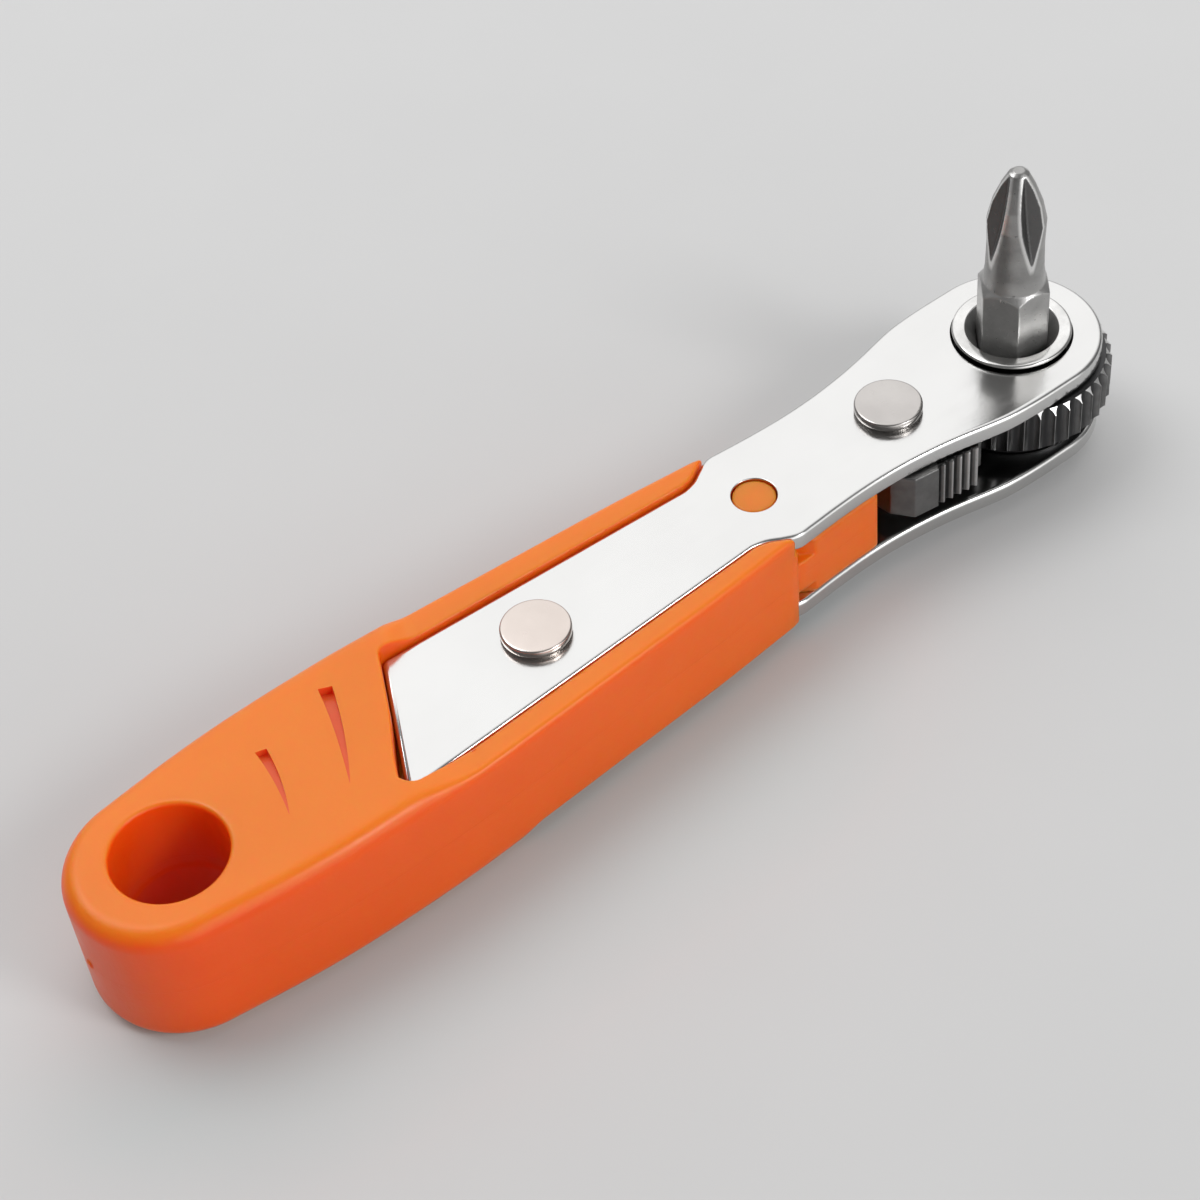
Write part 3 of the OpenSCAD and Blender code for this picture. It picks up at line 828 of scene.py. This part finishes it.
def pawl_solid(x, y, z):
    """The pawl as it leans at rest, negative inside."""
    c, s = math.cos(math.radians(swing)), math.sin(math.radians(swing))
    u, v = (x - pivot_x) * c - y * s, (x - pivot_x) * s + y * c
    flat = off_edge(u, v, pawl_edge)
    for side in (1, -1):
        # the tooth, seated in the gear's valley when the pawl leans to this side
        p, q = u * c + v * side * s + pivot_x, v * side * c - u * s
        d = math.radians(180 - tooth_place * 360 / tooth_count)
        reach, across = p * math.cos(d) + q * math.sin(d), q * math.cos(d) - p * math.sin(d)
        t = np.clip(reach - tooth_root, 0, 1)
        fang = np.hypot(across, np.minimum(reach - tooth_root, 0)) - 0.3 - 0.45 * t
        fang = np.maximum(fang, reach - tooth_end)
        flat = np.minimum(flat, fang)
    low, high = band_low - mid_z, band_high - mid_z
    solid = block(flat, np.abs(z - (low + high) / 2) - (high - low) / 2, fine_edge)
    collar = block(np.hypot(u, v) - collar_r, np.abs(z + 2.4) - 1.0, fine_edge)
    solid = np.minimum(solid, collar)
    for a in (swing, -swing):
        w = math.radians(a)
        bx, by = ball_seat * math.cos(w), ball_seat * math.sin(w)
        solid = carve(solid, np.hypot(u - bx, v - by) - ball_seat_r, sharp_edge)
    return carve(solid, np.hypot(u, v) - pivot_bore_r, sharp_edge)


pawl = skin("reversing_pawl", pawl_solid, (-21.4, -8.6, -3.9), (-7.2, 8.6, 3.9), (0.1, 0.1, 0.16), 0.5)
pawl.data.transform(Matrix.Translation((0, 0, mid_z * mm)))


def mark(piece, name, values):
    """Writes one number per vertex for the piece's finish to read."""
    piece.data.attributes.new(name, "FLOAT", "POINT").data.foreach_set("value", values)


def points_of(piece):
    """A piece's vertices in millimetres about the middle plane."""
    at = np.empty(len(piece.data.vertices) * 3)
    piece.data.vertices.foreach_get("co", at)
    return at.reshape(-1, 3).T / mm - np.array((0, 0, mid_z))[:, None]


px, py, pz = points_of(pawl)
lean_c, lean_s = math.cos(math.radians(swing)), math.sin(math.radians(swing))
pu, pv = (px - pivot_x) * lean_c - py * lean_s, np.abs((px - pivot_x) * lean_s + py * lean_c)
# the ridged tabs are marked for painted shade in their valleys and painted highlight on their crests
ridged = (pu > 0.5) & (pu < 5.4) & (pv > tab - 0.7)
mark(pawl, "ridge", np.where(ridged, np.clip((pv - tab + 0.5) / 0.5, 0, 1), 0.6))
sinter, nodes, links, shader, place = new_finish("sintered_steel", (0.15, 0.148, 0.145), 1, 0.36)
pores = grain(nodes, links, place, 2200, 3)
links.new(spread(nodes, links, pores, 0.3, 0.44), shader.inputs["Roughness"])
shade = spread(nodes, links, grain(nodes, links, place, 500, 3), 0, 1)
body_tone = tint(nodes, links, shade, (0.13, 0.129, 0.127), (0.19, 0.188, 0.185))
ridge = marked(nodes, "ridge")
# painted shade in the ridge valleys, painted highlight on the ridge crests
clear_of_valley_shade = spread(nodes, links, ridge, 0, 1, 0.35, 0.6)
ridge_highlight = spread(nodes, links, ridge, 0, 1, 0.75, 1)
tone = tint(nodes, links, clear_of_valley_shade, (0.03, 0.03, 0.03), body_tone)
links.new(tint(nodes, links, ridge_highlight, tone, (0.55, 0.55, 0.545)), shader.inputs["Base Color"])
relief_of(nodes, links, pores, 10 * micron, shader)
pawl.data.materials.append(sinter)
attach(pawl, "pawl")
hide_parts("reversing_pawl")

# Screwdriver bit. A forged cross-point insert bit, sandblasted grey, on a quarter-inch hexagon
# shank that stands in the socket.
bit_low = mid_z + plate_face - 5.2
hex_top = plate_face + 6.9
bit_end = plate_face + 19.8
bit_half = 6.35 / 2
neck_r = 2.95
base_r = 3.1
bit_turn = math.radians(socket_turn)
wing_turn = math.radians(-10)
wheel_r = 34.5
wheel_rise = 1.55
flute_core = 0.965
bit_edge = np.array([(-neck_r, hex_top - 1), (-neck_r, hex_top + 0.2), (-2.8, hex_top + 1.6),
                     (-2.72, plate_face + 11.5), (-2.8, plate_face + 14.2), (-2.35, plate_face + 16.3),
                     (-1.62, plate_face + 18.2), (-0.95, bit_end - 0.3), (-0.5, bit_end)])
bit_edge = np.concatenate([bit_edge, bit_edge[::-1] * (-1, 1)])


def from_flutes(x, y, z):
    """Distance from the nearest flute, each ground by the edge of a large wheel."""
    gaps = []
    for k in range(4):
        w = wing_turn + math.radians(90 * k)
        out, across = x * math.cos(w) + y * math.sin(w), y * math.cos(w) - x * math.sin(w)
        past_edge = wheel_r - np.hypot(out - flute_core - wheel_r, z - bit_end - wheel_rise)
        gaps.append(np.maximum((np.abs(across) - 0.1 - 1.2 * past_edge) * 0.64, -past_edge))
    return np.minimum.reduce(gaps)


def bit_solid(x, y, z):
    """The bit, its shank below and its cross point above, negative inside."""
    r = np.hypot(x, y)
    a = np.arctan2(y, x) - bit_turn
    side = r * np.cos((a % math.radians(60)) - math.radians(30)) - bit_half
    shank = block(side, np.maximum(z - hex_top, bit_low - mid_z - z), fine_edge)
    shank = np.maximum(shank, (r - neck_r) * 0.72 + (z - hex_top) * 0.69)
    shank = np.maximum(shank, (r - base_r) * 0.7 + (bit_low - mid_z - z) * 0.7)
    solid = np.minimum(shank, off_edge(r, z, bit_edge))
    return carve(solid, from_flutes(x, y, z), 0.06)


bit = skin("screwdriver_bit", bit_solid, (-3.9, -3.9, 0.2), (3.9, 3.9, 25.6), (0.11, 0.11, 0.14), 0.6)
bit.data.transform(Matrix.Translation((0, 0, mid_z * mm)))
mark(bit, "flute", np.clip(from_flutes(*points_of(bit)), 0, 1))
blasted, nodes, links, shader, place = new_finish("blasted_steel", (0.4, 0.396, 0.388), 0.85, 0.33)
grit = grain(nodes, links, place, 3600, 3)
links.new(spread(nodes, links, grit, 0.27, 0.39), shader.inputs["Roughness"])
cast = spread(nodes, links, grain(nodes, links, place, 600, 4), 0, 1)
hardened = spread(nodes, links, axes_of(nodes, links, place)["Z"], 0, 1, 0.0185, 0.0205)
shank_tone = tint(nodes, links, cast, (0.38, 0.376, 0.37), (0.46, 0.456, 0.448))
blade_tone = tint(nodes, links, cast, (0.28, 0.277, 0.272), (0.35, 0.347, 0.34))
flute = marked(nodes, "flute")
tone = tint(nodes, links, hardened, shank_tone, blade_tone)
# painted highlight on a band beside each flute, painted shade inside the flutes
flute_edge_highlight = spread(nodes, links, flute, 1, 0, 0.2, 0.4)
flute_shade = spread(nodes, links, flute, 1, 0, 0.02, 0.08)
tone = tint(nodes, links, flute_edge_highlight, tone, (0.7, 0.695, 0.685))
links.new(tint(nodes, links, flute_shade, tone, (0.13, 0.129, 0.128)), shader.inputs["Base Color"])
relief_of(nodes, links, grit, 8 * micron, shader)
bit.data.materials.append(blasted)
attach(bit, "bit")
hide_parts("screwdriver_bit")

# Floor and studio. A pale matt table, painted darker towards the camera, with a painted cool tint
# beside the grip that cancels the orange light the grip bounces there and a faint painted glow; two
# round lamps, and a world with a bright ceiling that the plates mirror, a low glow on the near side
# and an even backdrop for the camera.
floor_mesh = bpy.data.meshes.new("floor")
floor_z = (mid_z - tail_face) * mm
floor_half = 4
corners = [(x * floor_half, y * floor_half, floor_z) for x, y in ((-1, -1), (1, -1), (1, 1), (-1, 1))]
floor_mesh.from_pydata(corners, [], [(0, 1, 2, 3)])
floor = linked("floor", floor_mesh)
table, nodes, links, shader, place = new_finish("pale_table", (0.585, 0.585, 0.585), 0, 0.75)
shader.inputs["Specular IOR Level"].default_value = 0.2
# painted light: the floor is darker towards the camera and lighter away from it
away = nodes.new("ShaderNodeVectorMath")
away.operation = "DOT_PRODUCT"
away.inputs[1].default_value = (0.62, 0.78, 0)
links.new(place, away.inputs[0])
painted_light_falloff = spread(nodes, links, away.outputs["Value"], 0, 1, -0.09, 0.08)
paper = spread(nodes, links, grain(nodes, links, place, 40, 4), 0, 1)
near_tone = tint(nodes, links, paper, (0.54, 0.54, 0.54), (0.55, 0.55, 0.55))
far_tone = tint(nodes, links, paper, (0.605, 0.605, 0.605), (0.615, 0.615, 0.615))
tone = tint(nodes, links, painted_light_falloff, near_tone, far_tone)
where = axes_of(nodes, links, place)
beside = nodes.new("ShaderNodeCombineXYZ")
grip_x = (-0.092, -0.05)
links.new(spread(nodes, links, where["X"], *grip_x, *grip_x), beside.inputs["X"])
links.new(where["Z"], beside.inputs["Z"])
gap = nodes.new("ShaderNodeVectorMath")
gap.operation = "DISTANCE"
links.new(place, gap.inputs[0])
links.new(beside.outputs["Vector"], gap.inputs[1])
# painted light: a cool tint beside the near side of the grip cancels the orange light the grip bounces onto the
# floor
cool = nodes.new("ShaderNodeMix")
cool.data_type = "RGBA"
cool.blend_type = "MULTIPLY"
orange_bounce_mask = nodes.new("ShaderNodeMath")
orange_bounce_mask.operation = "MULTIPLY"
links.new(spread(nodes, links, gap.outputs["Value"], 1, 0, 0.011, 0.028), orange_bounce_mask.inputs[0])
links.new(spread(nodes, links, where["Y"], 1, 0, -0.012, 0), orange_bounce_mask.inputs[1])
links.new(orange_bounce_mask.outputs["Value"], cool.inputs[0])
links.new(tone, cool.inputs[6])
cool.inputs[7].default_value = (0.84, 0.99, 1, 1)
links.new(cool.outputs[2], shader.inputs["Base Color"])
# painted light: the floor glows faintly, lifting its shadows
shader.inputs["Emission Color"].default_value = (1, 1, 1, 1)
shader.inputs["Emission Strength"].default_value = 0.03
floor.data.materials.append(table)

world = bpy.data.worlds.new("studio")
world.use_nodes = True
scene.world = world
nodes, links = world.node_tree.nodes, world.node_tree.links
sky = nodes["Background"]
direction = nodes.new("ShaderNodeTexCoord")
ceiling = ((0.37, 0.56, 0.74), 0.6, 0.88, 1.27)
near_side = ((0.1, -0.97, 0.15), 0.7, 0.95, 1.6)
dim = 0.09
glows = []
for aim, start, stop, strength in (ceiling, near_side):
    facing = nodes.new("ShaderNodeVectorMath")
    facing.operation = "DOT_PRODUCT"
    facing.inputs[1].default_value = Vector(aim).normalized()
    links.new(direction.outputs["Generated"], facing.inputs[0])
    glows.append(spread(nodes, links, facing.outputs["Value"], dim, dim + strength, start, stop))
glow = nodes.new("ShaderNodeMath")
glow.operation = "ADD"
links.new(glows[0], glow.inputs[0])
links.new(glows[1], glow.inputs[1])
ray = nodes.new("ShaderNodeLightPath")
backdrop = nodes.new("ShaderNodeMix")
backdrop.inputs["B"].default_value = 0.43
links.new(ray.outputs["Is Camera Ray"], backdrop.inputs["Factor"])
links.new(glow.outputs["Value"], backdrop.inputs["A"])
links.new(backdrop.outputs["Result"], sky.inputs["Strength"])
sky.inputs["Color"].default_value = (1, 1, 1, 1)


def soft_box(name, at, size, energy):
    """A round lamp aimed at the middle of the tool."""
    lamp_data = bpy.data.lights.new(name, "AREA")
    lamp_data.shape = "DISK"
    lamp_data.size = size
    lamp_data.energy = energy
    tool_middle = Vector((-0.045, 0, 0))
    aim = (Vector(at) - tool_middle).to_track_quat("Z", "Y")
    lamp = linked(name, lamp_data)
    lamp.matrix_world = Matrix.Translation(at) @ aim.to_matrix().to_4x4()


soft_box("far_key", (-0.25, 0.4, 0.75), 0.5, 2.0)
soft_box("edge_light", (0.19, -0.63, 0.55), 0.25, 1.8)
